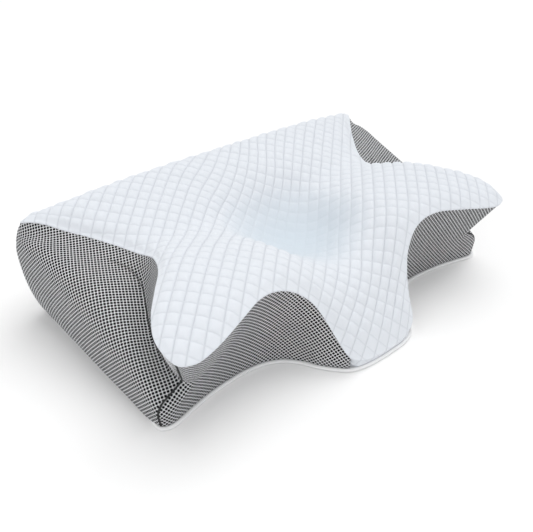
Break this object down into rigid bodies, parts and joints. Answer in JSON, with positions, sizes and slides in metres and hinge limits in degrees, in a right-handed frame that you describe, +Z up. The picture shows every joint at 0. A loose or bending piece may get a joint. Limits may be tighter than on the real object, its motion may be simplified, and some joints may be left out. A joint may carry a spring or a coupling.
{
  "type": "cervical pillow",
  "caption": "Contoured neck pillow with a quilted top, a head hollow, side wings, arm recesses and mesh sides.",
  "frame": {"origin": "on the underside, at the middle of the length, under the head hollow", "axes": "+X along the pillow's length, to the right as seen from the front; +Y towards the raised back; +Z up"},
  "size_m": [0.6396, 0.4008, 0.1706],
  "materials": {
    "quilted_cloth": "matte",
    "open_mesh": "matte",
    "plain_cloth": "matte"
  },
  "bodies": {
    "root": {"filled_body": "quilted_cloth", "mesh_side_left": "open_mesh", "mesh_side_right": "open_mesh", "mesh_front_left": "open_mesh", "mesh_front_right": "open_mesh", "mesh_back": "open_mesh", "base_panel": "plain_cloth"}
  },
  "joints": []
}
